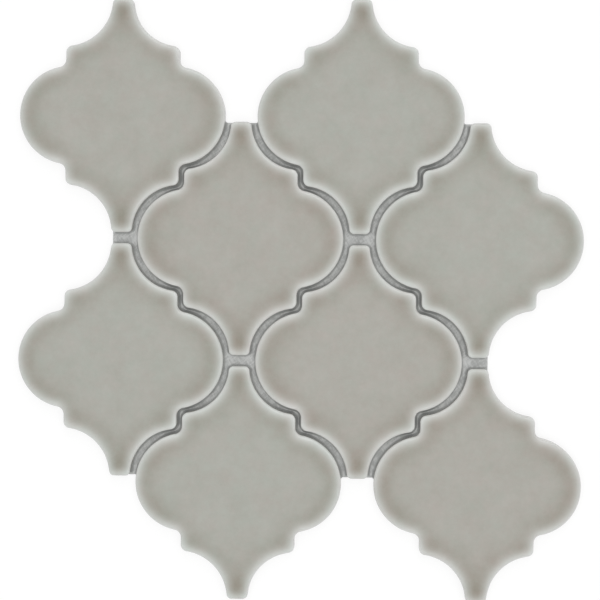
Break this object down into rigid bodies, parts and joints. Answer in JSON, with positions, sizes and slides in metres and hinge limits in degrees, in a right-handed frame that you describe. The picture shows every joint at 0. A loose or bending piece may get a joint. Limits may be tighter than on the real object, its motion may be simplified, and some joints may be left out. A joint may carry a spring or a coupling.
{
  "type": "arabesque mosaic tile sheet",
  "caption": "Glossy grey glazed lantern-shaped ceramic tiles in staggered interlocking rows, held at grout spacing by a fibre mat glued to their backs, for facing a wall or backsplash",
  "frame": {"origin": "middle of the sheet, on the underside of the backing mat", "axes": "+Z out of the glazed faces, +Y up the sheet towards row 1, +X to the right as seen from the front"},
  "size_m": [0.25, 0.2658, 0.0065],
  "materials": {
    "glaze": "gloss",
    "mat": "matte"
  },
  "bodies": {
    "root": {"tile_row_1_left": "glaze", "tile_row_1_right": "glaze", "tile_row_2_left": "glaze", "tile_row_2_right": "glaze", "tile_row_3_left": "glaze", "tile_row_3_right": "glaze", "tile_row_4_left": "glaze", "tile_row_4_right": "glaze", "backing_mat": "mat"}
  },
  "joints": []
}
